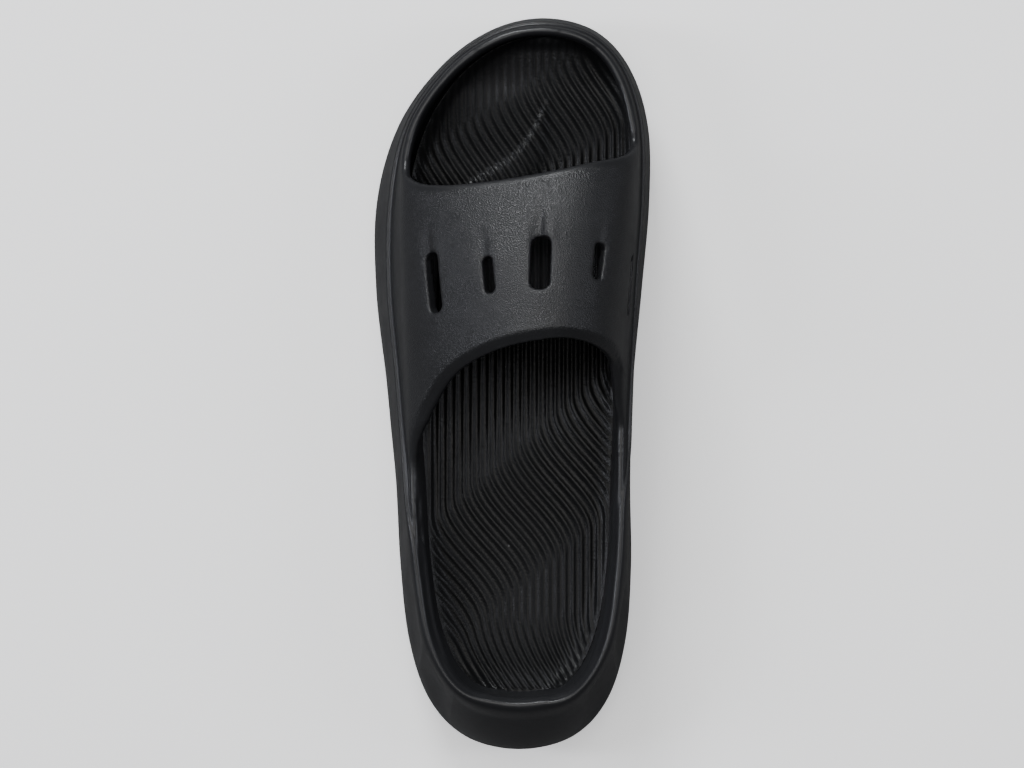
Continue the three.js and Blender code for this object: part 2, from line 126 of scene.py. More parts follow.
@dataclass
class ShoeForm:
    """The shape that all pieces follow: outline, ground line, footbed line and rim, in millimetres."""

    length: float = 296
    width: float = 113
    heel_lift: float = 9
    arch_lift: float = 3
    toe_spring: float = 20
    heel_flare: float = 19
    rim_height: float = 55
    heel_wall: float = 3.8
    rim_wall: float = 5.4
    toe_wall: float = 3.8
    heel_wall_span: Pair = (0.06, 0.16)
    toe_wall_span: Pair = (0.5, 0.85)
    footbed_height: float = 36.5
    footbed_thickness: float = 6
    gap: float = 0.3
    lip: float = 0.9
    sections: Sequence[Section] = (
        Section((0.025, 0.025), (0.95, 0.95), (0.96, 0.96), (0.98, 0.98), (1.0, 1.0), (1.35, 1.35)),
        Section((-0.167, 0.217), (0.89, 0.84), (0.96, 0.96), (0.93, 0.89), (1.0, 1.0), (1.32, 1.28)),
        Section((-0.299, 0.342), (0.65, 0.52), (0.96, 0.96), (0.69, 0.57), (1.0, 1.0), (1.17, 1.03)),
        Section((-0.371, 0.407), (0.43, 0.22), (0.96, 0.95), (0.47, 0.27), (0.995, 0.995), (0.93, 0.76)),
        Section((-0.403, 0.428), (0.34, 0.09), (0.945, 0.93), (0.38, 0.14), (0.985, 0.985), (0.81, 0.58)),
        Section((-0.421, 0.425), (0.32, 0.0), (0.9, 0.89), (0.36, 0.05), (0.985, 0.975), (0.79, 0.47)),
        Section((-0.455, 0.435), (0.34, 0.0), (0.78, 0.83), (0.5, 0.09), (0.955, 0.97), (0.85, 0.43)),
        Section((-0.495, 0.466), (0.37, 0.09), (0.66, 0.73), (0.64, 0.14), (0.92, 0.92), (0.86, 0.44)),
        Section((-0.493, 0.493), (0.38, 0.12), (0.61, 0.66), (0.6, 0.18), (0.87, 0.87), (0.83, 0.44)),
        Section((-0.414, 0.489), (0.25, 0.13), (0.63, 0.64), (0.3, 0.18), (0.84, 0.84), (0.74, 0.46)),
        Section((-0.263, 0.423), (0.18, 0.14), (0.66, 0.66), (0.22, 0.18), (0.83, 0.83), (0.62, 0.48)),
        Section((-0.081, 0.299), (0.16, 0.16), (0.69, 0.69), (0.21, 0.2), (0.85, 0.85), (0.57, 0.52)),
        Section((0.113, 0.113), (0.17, 0.17), (0.71, 0.71), (0.22, 0.22), (0.86, 0.86), (0.55, 0.55)),
    )
    footbed_line: Sequence[Pair] = (
        (0.0, 1.08), (0.12, 1.0), (0.28, 1.0), (0.42, 0.96), (0.55, 0.87),
        (0.68, 0.8), (0.8, 0.82), (0.9, 0.92), (1.0, 1.06),
    )
    flats: tuple[float, float, float, float] = (0.1, 0.36, 0.5, 0.66)
    made: dict = field(default_factory=dict)

    def column(self, name: str, side: Side, angle: float) -> float:
        """A column of the sections at an angle from the heel's end.

        Args:
            name: the column's name.
            side: the side of the shoe.
            angle: 0 at the heel's end to 180 at the toe's end.

        Returns:
            The smooth value between the rows.
        """
        last = len(self.sections) - 1
        place = angle / (180 / last)
        i = max(0, min(int(place), last - 1))

        def at(k: int) -> float:
            """The value of a row, which may lie past either end."""
            if k < 0:
                return getattr(self.sections[-k], name)[side.other.value]
            if k > last:
                return getattr(self.sections[2 * last - k], name)[side.other.value]
            return getattr(self.sections[k], name)[side.value]

        return curve(at(i - 1), at(i), at(i + 1), at(i + 2), place - i)

    def outline(self, side: Side, angle: float) -> Vector:
        """The outline in plan at an angle, which may run past either end."""
        if angle < 0:
            side, angle = side.other, -angle
        if angle > 180:
            side, angle = side.other, 360 - angle
        y = -math.cos(math.radians(angle)) * self.length / 2
        return Vector((self.column("edge", side, angle) * self.width, y))

    def station(self, side: Side, angle: float) -> Station:
        """The station at an angle, made once and kept."""
        key = (side, round(angle, 5))
        if key not in self.made:
            step = 0.5
            along = (self.outline(side, angle + step) - self.outline(side, angle - step)).normalized()
            inward = Vector((along.y, -along.x)) if side is Side.LATERAL else Vector((-along.y, along.x))
            widths = ("flare", "rim_in", "foot")
            flare, rim_in, foot = (self.heel_flare * self.column(n, side, angle) for n in widths)
            ridge, rim = (self.rim_height * self.column(n, side, angle) for n in ("ridge", "rim"))
            self.made[key] = Station(
                side, angle, self.outline(side, angle), inward, flare, ridge, rim_in + self.lip, rim, foot
            )
        return self.made[key]

    def share(self, y: float) -> float:
        """How far along the shoe a place is, 0 at the heel's end to 1 at the toe's."""
        return min(max(y / self.length + 0.5, 0.0), 1.0)

    def ground(self, y: float) -> float:
        """Height of the sole's underside above the floor."""
        share = self.share(y)
        heel_start, heel_end, ball_start, ball_end = self.flats
        if share < heel_start:
            return self.heel_lift * ((heel_start - share) / heel_start) ** 2
        if share > ball_end:
            return self.toe_spring * ((share - ball_end) / (1 - ball_end)) ** 1.9
        if share < heel_end or share > ball_start:
            return 0.0
        return self.arch_lift * math.sin(math.pi * (share - heel_end) / (ball_start - heel_end)) ** 2

    def footbed(self, y: float) -> float:
        """Height of the footbed's middle."""
        share = self.share(y)
        for (a, low), (b, high) in zip(self.footbed_line, self.footbed_line[1:]):
            if share <= b:
                t = smooth(share, a, b) * 0.5 + (share - a) / (b - a) * 0.5
                return self.footbed_height * lerp(low, high, t)
        return self.footbed_height * self.footbed_line[-1][1]

    def cavity(self, y: float) -> float:
        """Height of the floor of the cup that the footbed lies in."""
        return self.footbed(y) - self.footbed_thickness - self.gap

    def wall(self, y: float) -> float:
        """Thickness of the upper's wall."""
        share = self.share(y)
        heel = (self.heel_wall - self.rim_wall) * (1 - smooth(share, *self.heel_wall_span))
        return self.rim_wall + heel + (self.toe_wall - self.rim_wall) * smooth(share, *self.toe_wall_span)


def grid(bm: bmesh.types.BMesh, columns: int, rows: int, place: Callable[[float, float], Vector]) -> None:
    """Adds a grid to a mesh and moves each corner to its place.

    Args:
        bm: the mesh that gets the grid.
        columns: faces along the first way.
        rows: faces along the second way.
        place: gives the corner's place in millimetres from its two shares, 0 to 1.
    """
    made = bmesh.ops.create_grid(bm, x_segments=columns, y_segments=rows, size=1.0)
    for vert in made["verts"]:
        u = round((vert.co.x + 1) / 2 * columns) / columns
        v = round((vert.co.y + 1) / 2 * rows) / rows
        vert.co = place(u, v) * MM


def weld(bm: bmesh.types.BMesh, distance: float = 1e-6) -> None:
    """Joins equal corners, drops faces with no area and turns all faces out."""
    bmesh.ops.remove_doubles(bm, verts=bm.verts, dist=distance)
    bmesh.ops.dissolve_degenerate(bm, dist=distance, edges=bm.edges)
    bmesh.ops.recalc_face_normals(bm, faces=bm.faces)


def to_object(bm: bmesh.types.BMesh, name: str) -> bpy.types.Object:
    """Makes a smooth-shaded object in the scene from a mesh.

    Args:
        bm: the mesh, freed here.
        name: the object's name.

    Returns:
        The new object.
    """
    mesh = bpy.data.meshes.new(name)
    bm.to_mesh(mesh)
    bm.free()
    mesh.shade_smooth()
    made = bpy.data.objects.new(name, mesh)
    bpy.context.scene.collection.objects.link(made)
    return made


def surface_tree(mesh: bpy.types.Mesh) -> BVHTree:
    """A mesh's surface, ready for nearest points and rays."""
    return BVHTree.FromPolygons([v.co for v in mesh.vertices], [f.vertices for f in mesh.polygons])


class Skin:
    """A mesh's surface with its nearest places and their smooth directions, in millimetres."""

    def __init__(self, mesh: bpy.types.Mesh) -> None:
        """Keeps the mesh's surface and the directions of its corners."""
        self.tree = surface_tree(mesh)
        self.faces = [tuple(f.vertices) for f in mesh.polygons]
        self.normals = [v.normal.copy() for v in mesh.vertices]

    def nearest(self, point: Vector) -> tuple[Vector, Vector]:
        """The nearest place of the surface and its smooth direction."""
        near, _, face, _ = self.tree.find_nearest(point * MM)
        normal = sum((self.normals[i] for i in self.faces[face]), Vector((0, 0, 0)))
        return near / MM, normal.normalized()


def side_point(place: Matrix, side: Vector) -> Vector:
    """A way across a frame's own plane, in metres for each millimetre."""
    return place.to_3x3() @ Vector((side.x, side.y, 0)) * MM


def settle(made: bpy.types.Object) -> None:
    """Applies an object's modifiers to its mesh."""
    bpy.context.view_layer.update()
    final = bpy.data.meshes.new_from_object(made.evaluated_get(bpy.context.evaluated_depsgraph_get()))
    old = made.data
    made.modifiers.clear()
    made.data = final
    bpy.data.meshes.remove(old)
    made.data.shade_smooth()


def dress(made: bpy.types.Object, finish: bpy.types.Material, node: str) -> bpy.types.Object:
    """Gives a piece its finish and sets it in place of its node."""
    made.data.materials.clear()
    made.data.materials.append(finish)
    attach(made, "root")
    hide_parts(node)
    log.info("%s: %d faces", made.name, len(made.data.polygons))
    return made


@dataclass(frozen=True)
class Slot:
    """A vent slot: place over the strap and back along it, sizes in millimetres, turn in degrees."""

    over: float
    back: float
    length: float
    width: float
    turn: float
    crease: float


@dataclass
class Upper:
    """The moulded upper: toe rim, strap with its slots and heel rim in one wall."""

    form: ShoeForm
    instep_height: float = 93
    toe_arch_height: float = 73
    crest: float = 0.66
    camber: float = 2
    collar: Pair = (79, 86.6)
    toe_corner: Pair = (126.3, 130)
    front_rise: Pair = (1.15, 0.8)
    rear_rise: Pair = (1.7, 0.95)
    front_bow: Sequence[float] = (
        0, -0.008, -0.02, -0.026, -0.028, -0.027, -0.023, -0.02, -0.017, -0.015, -0.012, -0.006, 0,
    )
    rear_bow: Sequence[float] = (
        0, 0.009, 0.047, 0.086, 0.105, 0.112, 0.11, 0.105, 0.096, 0.084, 0.07, 0.05, 0,
    )
    slots: Sequence[Slot] = (
        Slot(0.215, 0.53, 24, 6.6, -5, 0.6),
        Slot(0.365, 0.61, 14.6, 4.2, -6, 0.5),
        Slot(0.478, 0.6, 21.5, 7.8, 0, 1.25),
        Slot(0.71, 0.605, 14.6, 4.6, 3, 0.5),
        Slot(0.97, 0.59, 24, 6.6, 0, 0.0),
    )
    voxel: float = 0.86
    band: float = 4.4
    band_depth: float = 1.9
    band_drop: float = 1.5
    edge_round: float = 2.4
    slot_edge: float = 0.9
    slot_margin: float = 3
    slot_deep: float = 9
    eye_height: float = 12
    inner_free: float = 1.6
    corner_ahead: float = 1.0
    corner_reach: Sequence[float] = (17, 14, 11, 8)
    corner_rounds: int = 14
    calm_reach: Pair = (1.6, 4.5)
    line_height: float = 0.12
    line_width: float = 0.7
    line_ahead: float = 0.4
    crease_sides: Triple = (-6.5, -0.6, 1.6)
    crease_ahead: float = 17
    crease_behind: float = 14
    crease_box: Pair = (14, 6)
    swell: Triple = (4.0, 2.8, 0.4)
    rear_swell_width: float = 4.5
    lowest_relief: float = 45
    corner_share: float = 0.42
    strap_columns: int = 170
    wall_rows: int = 18
    corner_webs: tuple[Pair, Pair] = ((5.0, 3.0), (7.0, 9.0))

    def wall_point(self, side: Side, angle: float, v: float) -> Vector:
        """A point of the outer wall, v 0 at its foot to 1 at the rim."""
        s = self.form.station(side, angle)
        foot = s.inset(s.foot - self.form.wall(s.point.y), 0)
        foot.z = self.form.cavity(foot.y) + self.form.gap
        ridge = s.inset(s.flare + self.form.lip + self.form.gap, s.ridge)
        rim = s.inset(s.rim_in, s.rim)
        if v < 0.5:
            return foot.lerp(ridge, v * 2)
        return ridge.lerp(rim, v * 2 - 1)

    def rim_point(self, side: Side, angle: float, v: float) -> Vector:
        """A point of the outer wall beyond the strap, where the rim's outer edge is round."""
        p = self.wall_point(side, angle, v)
        s = self.form.station(side, angle)
        rise = (s.rim - p.z) / (s.rim - s.ridge)
        away = max(angle - self.toe_corner[side.value], self.collar[side.value] - angle)
        radius = self.edge_round * smooth(away, 0, 6)
        near = 1 - min(max(rise * (s.rim - s.ridge) / max(radius, 0.01), 0.0), 1.0)
        shift = radius * (1 - math.sqrt(max(1 - near * near, 0.0)))
        p.x += s.inward.x * shift
        p.y += s.inward.y * shift
        return p

    def angle_at(self, side: Side, back: float) -> float:
        """The angle of the strap's root, back 0 at its front edge to 1 at its rear edge."""
        return lerp(self.toe_corner[side.value], self.collar[side.value], back)

    def bow(self, values: Sequence[float], over: float) -> float:
        """How far an edge lies ahead of the line between its ends."""
        last = len(values) - 1
        i = max(0, min(int(over * last), last - 1))
        after = values[min(i + 2, 2 * last - i - 2)]
        return curve(values[abs(i - 1)], values[i], values[i + 1], after, over * last - i)

    def strap_point(self, back: float, over: float) -> Vector:
        """A point of the strap's outer face.

        Args:
            back: 0 at the front edge to 1 at the rear edge.
            over: 0 at the lateral rim to 1 at the medial rim.

        Returns:
            The point, in millimetres.
        """
        ends = [self.wall_point(side, self.angle_at(side, back), 1) for side in Side]
        side = Side.LATERAL if over < 0.5 else Side.MEDIAL
        turn = math.pi * (over if side is Side.LATERAL else 1 - over)
        swing = 1 - math.cos(turn)
        across = self.crest * swing if side is Side.LATERAL else 1 - (1 - self.crest) * swing
        steep = lerp(self.front_rise[side.value], self.rear_rise[side.value], back ** 1.8)
        rise = max(math.sin(turn), 0) ** steep
        crest = lerp(ends[0].z, ends[1].z, self.crest)
        height = lerp(self.toe_arch_height, self.instep_height, back)
        height += self.camber * math.sin(math.pi * back)
        p = ends[0].lerp(ends[1], across)
        p.y += lerp(self.bow(self.front_bow, over), self.bow(self.rear_bow, over), back) * self.form.length
        p.z += rise * (height - crest)
        return p

    def strap_frame(self, slot: Slot) -> Matrix:
        """A slot's own frame on the strap: Y forward, Z out of the strap."""
        step = 0.02
        ahead = self.strap_point(slot.back - step, slot.over) - self.strap_point(slot.back + step, slot.over)
        aside = self.strap_point(slot.back, slot.over + step) - self.strap_point(slot.back, slot.over - step)
        out = aside.cross(ahead).normalized()
        ahead = Matrix.Rotation(math.radians(-slot.turn), 3, out) @ ahead.normalized()
        turned = Matrix((ahead.cross(out), ahead, out)).transposed().to_4x4()
        return Matrix.Translation(self.strap_point(slot.back, slot.over)) @ turned

    def sheets(self, bm: bmesh.types.BMesh) -> None:
        """Adds the outer face of toe rim, heel rim and strap to a mesh."""
        rows = self.wall_rows

        def round_end(start: Sequence[float], end: float) -> Callable[[float, float], Vector]:
            """The places of the wall that goes round one end of the shoe."""
            def place(u: float, v: float) -> Vector:
                """A place of the wall, u round the end and v up."""
                side = Side.LATERAL if u < 0.5 else Side.MEDIAL
                reach = 1 - abs(2 * u - 1)
                return self.rim_point(side, lerp(start[side.value], end, reach), v)
            return place

        def strap(u: float, v: float) -> Vector:
            """A place of the strap with the walls below it, u back and v over."""
            steps = 2 * rows + arch
            i = round(v * steps)
            if i <= rows:
                return self.wall_point(Side.LATERAL, self.angle_at(Side.LATERAL, u), i / rows)
            if i >= rows + arch:
                return self.wall_point(Side.MEDIAL, self.angle_at(Side.MEDIAL, u), (steps - i) / rows)
            return self.strap_point(u, (i - rows) / arch)

        arch = self.strap_columns
        grid(bm, 150, rows, round_end(self.toe_corner, 180))
        grid(bm, 240, rows, round_end(self.collar, 0))
        grid(bm, 84, 2 * rows + arch, strap)

    def web(self, bm: bmesh.types.BMesh, side: Side, back: int) -> None:
        """Adds the small rounded web between the rim and an end of one of the strap's edges.

        Args:
            bm: the mesh that gets it.
            side: the side of the shoe.
            back: 0 for the strap's front edge, 1 for its rear edge.
        """
        radius = self.corner_webs[back][side.value]
        root = self.angle_at(side, back)
        corner = self.wall_point(side, root, 1)
        per_degree = math.radians(1) * math.sin(math.radians(root)) * self.form.length / 2
        overs = [i / 400 for i in range(90)]
        course = [self.strap_point(back, over if side is Side.LATERAL else 1 - over) for over in overs]

        def up_strap(distance: float) -> Vector:
            """The place on the strap's edge at a distance from the corner."""
            for a, b in zip(course, course[1:]):
                if (b - corner).length >= distance:
                    near, far = (a - corner).length, (b - corner).length
                    return a.lerp(b, (distance - near) / (far - near))
            return course[-1]

        def place(u: float, v: float) -> Vector:
            """A place of the web, u from the rim to the strap and v away from the corner."""
            along = v * radius * (1 - math.sin(math.pi / 2 * u))
            up = v * radius * (1 - math.cos(math.pi / 2 * u))
            turn = along / per_degree * (1 if back == 0 else -1)
            return self.rim_point(side, root + turn, 1) + up_strap(up) - corner

        made = bmesh.new()
        grid(made, 12, 8, place)
        bmesh.ops.remove_doubles(made, verts=made.verts, dist=1e-6)
        out = -self.form.station(side, root).inward
        made.normal_update()
        if sum(f.normal.x * out.x + f.normal.y * out.y for f in made.faces) < 0:
            bmesh.ops.reverse_faces(made, faces=made.faces)
        mesh = bpy.data.meshes.new("web")
        made.to_mesh(mesh)
        made.free()
        bm.from_mesh(mesh)
        bpy.data.meshes.remove(mesh)

    def rear_edge(self) -> KDTree:
        """The points of the strap's rear edge, ready for a nearest search."""
        steps = 400
        tree = KDTree(steps + 1)
        for i in range(steps + 1):
            tree.insert(self.strap_point(1, i / steps) * MM, i)
        tree.balance()
        return tree

    def bevel_band(self, bm: bmesh.types.BMesh) -> None:
        """Leans the strap's rear edge back in a narrow band."""
        rear = self.rear_edge()
        for vert in bm.verts:
            reach = rear.find(vert.co)[2] / MM
            if reach < self.band:
                top = smooth(vert.normal.z, 0.3, 0.7)
                vert.co -= vert.normal * (self.band_depth * top * (1 - reach / self.band) * MM)

    def band_relief(self, reach: float) -> float:
        """Height of the band's slope and of the fine line at its start, at a distance from the rear edge."""
        line = math.exp(-(((reach - self.band - self.line_ahead) / self.line_width) ** 2))
        return self.line_height * line - self.band_drop * max(1 - reach / self.band, 0)

    def crease_relief(self, slot: Slot, p: Vector) -> float:
        """Height of the skin round a slot: the crease ahead of it and the swells beside and behind it.

        Args:
            slot: the slot.
            p: the place in the slot's own frame, in millimetres.

        Returns:
            The height, in millimetres.
        """
        half = slot.length / 2
        start, lowest, end = self.crease_sides
        reach, width, share = self.swell
        ahead = smooth(p.y, half * 0.2, half + 1) * (1 - smooth(p.y, half, half + self.crease_ahead))
        behind = smooth(p.y, -half - self.crease_behind, -half - 2)
        behind *= 1 - smooth(p.y, -half - 3, -half * 0.5)
        groove = smooth(p.x, start, lowest) * (1 - smooth(p.x, lowest, end))
        beside = math.exp(-(((p.x - reach) / width) ** 2)) * share
        rear = share * behind * math.exp(-((p.x / self.rear_swell_width) ** 2))
        outer_face = smooth(p.z - 0.02 * p.x ** 2, -3.2, -0.8)
        return slot.crease * (rear - ahead * (groove - beside)) * outer_face

    def fine_relief(self, mesh: bpy.types.Mesh) -> None:
        """Adds the fine line beside the collar's band and the creases ahead of the slots."""
        rear = self.rear_edge()
        frames = [(s, self.strap_frame(s)) for s in self.slots if s.crease]
        frames = [(s, f.inverted(), f.to_3x3().col[2].copy()) for s, f in frames]
        normals = [v.normal.copy() for v in mesh.vertices]
        across, deep = self.crease_box
        for vert, normal in zip(mesh.vertices, normals):
            if vert.co.z < self.lowest_relief * MM:
                continue
            shift = Vector((0, 0, 0))
            reach = rear.find(vert.co)[2] / MM
            if reach < self.band + 3 and normal.z > 0:
                shift += normal * (self.band_relief(reach) * smooth(normal.z, 0.1, 0.5))
            for slot, frame_in, out in frames:
                local = frame_in @ (vert.co / MM)
                if abs(local.z) <= deep and abs(local.x) <= across:
                    shift += out * self.crease_relief(slot, local)
            vert.co += shift * MM

    def cutter(self, slot: Slot) -> bpy.types.Object:
        """A bar with rounded corners that cuts a slot."""
        bm = bmesh.new()
        bmesh.ops.create_cube(bm, size=1)
        bmesh.ops.scale(bm, verts=bm.verts, vec=(slot.width, slot.length, 4 * self.form.rim_wall))
        upright = [e for e in bm.edges if abs(e.verts[0].co.z - e.verts[1].co.z) > 1]
        corner = slot.width * self.corner_share
        bmesh.ops.bevel(
            bm, geom=upright, offset=corner, segments=8, profile=0.5, affect="EDGES", material=-1
        )
        bmesh.ops.transform(bm, matrix=Matrix.Scale(MM, 4) @ self.strap_frame(slot), verts=bm.verts)
        bmesh.ops.recalc_face_normals(bm, faces=bm.faces)
        return to_object(bm, "slot_cutter")

    def build(self, finish: bpy.types.Material) -> bpy.types.Object:
        """Builds and dresses the upper."""
        bm = bmesh.new()
        self.sheets(bm)
        bmesh.ops.remove_doubles(bm, verts=bm.verts, dist=1e-6)
        bmesh.ops.recalc_face_normals(bm, faces=bm.faces)
        bm.normal_update()
        top = max(bm.faces, key=lambda f: f.calc_center_median().z)
        if top.normal.z < 0:
            bmesh.ops.reverse_faces(bm, faces=bm.faces)
            bm.normal_update()
        self.bevel_band(bm)
        for side in Side:
            for back in (0, 1):
                self.web(bm, side, back)
        made = to_object(bm, "upper_moulding")
        group = made.vertex_groups.new(name="wall")
        for vert in made.data.vertices:
            group.add([vert.index], self.form.wall(vert.co.y / MM) / self.form.rim_wall, "REPLACE")
        thick = made.modifiers.new("thickness", "SOLIDIFY")
        thick.thickness = self.form.rim_wall * MM
        thick.offset = -1
        thick.vertex_group = group.name
        self.skin(made, 16)
        settle(made)
        uncut = surface_tree(made.data)
        cutters = [self.cutter(slot) for slot in self.slots]
        for cutter in cutters:
            cut = made.modifiers.new("slot", "BOOLEAN")
            cut.operation = "DIFFERENCE"
            cut.solver = "EXACT"
            cut.object = cutter
        self.skin(made, 7)
        settle(made)
        for cutter in cutters:
            bpy.data.objects.remove(cutter)
        for slot in self.slots:
            self.trim_slot(made.data, slot, uncut)
        self.fine_relief(made.data)
        self.soften_corners(made.data)
        self.calm_edges(made.data)
        return dress(made, finish, "upper")

    def soften_corners(self, mesh: bpy.types.Mesh) -> None:
        """Rounds the skin where the strap's rear edge runs into the rim."""
        bm = bmesh.new()
        bm.from_mesh(mesh)
        for side in Side:
            s = self.form.station(side, self.collar[side.value] - self.corner_ahead)
            middle = s.inset(s.rim_in + self.form.rim_wall / 2, s.rim) * MM
            for radius in self.corner_reach:
                near = [v for v in bm.verts if (v.co - middle).length < radius * MM]
                for _ in range(self.corner_rounds):
                    bmesh.ops.smooth_vert(
                        bm, verts=near, factor=0.5, use_axis_x=True, use_axis_y=True, use_axis_z=True
                    )
        bm.to_mesh(mesh)
        bm.free()

    def calm_edges(self, mesh: bpy.types.Mesh) -> None:
        """Marks the skin near the strap's edges and the rim, where the moulded grain runs out."""
        steps = 300
        course = [self.strap_point(back, i / steps) for back in (0, 1) for i in range(steps + 1)]
        for side in Side:
            for start, end in ((self.toe_corner[side.value], 180), (0, self.collar[side.value])):
                course += [self.rim_point(side, lerp(start, end, i / steps), 1) for i in range(steps + 1)]
        tree = KDTree(len(course))
        for i, point in enumerate(course):
            tree.insert(point * MM, i)
        tree.balance()
        calm = mesh.attributes.new("calm", "FLOAT", "POINT")
        for vert in mesh.vertices:
            calm.data[vert.index].value = 1 - smooth(tree.find(vert.co)[2] / MM, *self.calm_reach)

    def trim_slot(self, mesh: bpy.types.Mesh, slot: Slot, uncut: BVHTree) -> None:
        """Moves the skin round a slot to the slot's true walls and its small outer rounding.

        Args:
            mesh: the upper's mesh.
            slot: the slot.
            uncut: the upper's skin before the slots were cut.
        """
        place = self.strap_frame(slot)
        back = place.inverted()
        out = place.to_3x3().col[2] * MM
        corner, edge = slot.width * self.corner_share, self.slot_edge
        half = Vector((slot.width / 2 - corner, slot.length / 2 - corner))
        reach = corner + self.slot_margin
        deepest = self.form.rim_wall - self.inner_free
        for vert in mesh.vertices:
            p = back @ (vert.co / MM)
            if abs(p.x) > half.x + reach or abs(p.y) > half.y + reach or abs(p.z) > self.slot_deep:
                continue
            rest = Vector((max(abs(p.x) - half.x, 0), max(abs(p.y) - half.y, 0)))
            if rest.length < 1e-6:
                continue
            side = Vector((math.copysign(rest.x, p.x), math.copysign(rest.y, p.y))).normalized()
            far = rest.length - corner
            eye = vert.co + side_point(place, side) * (edge * 1.5) + out * self.eye_height
            hit = uncut.ray_cast(eye, -out.normalized())[0]
            if hit is None:
                continue
            depth = (back @ (hit / MM)).z - p.z
            if depth > deepest or far > edge:
                continue
            if depth > edge:
                far_to, depth_to = 0.0, depth
            else:
                arm = Vector((far - edge, edge - depth))
                arm = arm.normalized() * edge if arm.length > 1e-6 else Vector((-edge, 0))
                far_to, depth_to = edge + arm.x, edge - arm.y
            p += Vector((side.x, side.y, 0)) * (far_to - far) + Vector((0, 0, depth - depth_to))
            vert.co = (place @ p) * MM

    def skin(self, made: bpy.types.Object, softness: int) -> None:
        """Adds an even skin of small faces to a piece, with soft edges.

        Args:
            made: the piece.
            softness: how often the skin is smoothed.
        """
        remesh = made.modifiers.new("skin", "REMESH")
        remesh.mode = "VOXEL"
        remesh.voxel_size = self.voxel * MM
        remesh.adaptivity = 0
        even = made.modifiers.new("soft_edges", "SMOOTH")
        even.factor = 0.5
        even.iterations = softness


